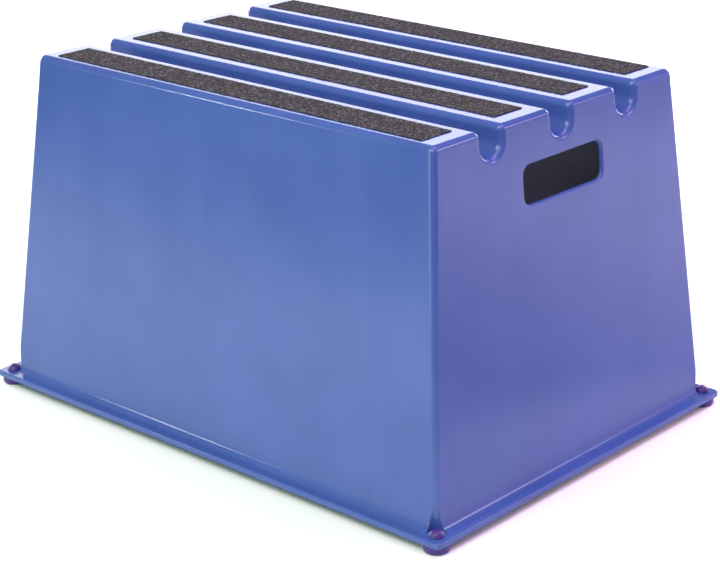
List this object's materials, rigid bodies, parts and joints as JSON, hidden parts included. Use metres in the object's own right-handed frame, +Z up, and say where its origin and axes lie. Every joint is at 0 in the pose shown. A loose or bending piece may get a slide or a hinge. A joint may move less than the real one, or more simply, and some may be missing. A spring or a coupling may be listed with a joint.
{
  "type": "mounting block",
  "caption": "One-step moulded plastic mounting block, a hollow tapered shell with a base flange, ribbed top with grit treads, end hand slots and rubber feet.",
  "frame": {"origin": "centre of the footprint, on the floor plane under the rubber feet", "axes": "+X along the treads, from hand slot to hand slot; +Y from front to back; +Z up"},
  "size_m": [0.6, 0.444, 0.35],
  "materials": {
    "moulded_shell": "glossy blue moulded polyethylene",
    "grit_strip": "matt black mineral grit on adhesive tape",
    "foot_rubber": "satin violet moulded rubber"
  },
  "bodies": {
    "root": {"body_shell": "moulded_shell", "tread_strip_1": "grit_strip", "tread_strip_2": "grit_strip", "tread_strip_3": "grit_strip", "tread_strip_4": "grit_strip", "foot_front_left": "foot_rubber", "foot_front_right": "foot_rubber", "foot_back_left": "foot_rubber", "foot_back_right": "foot_rubber"}
  },
  "joints": []
}
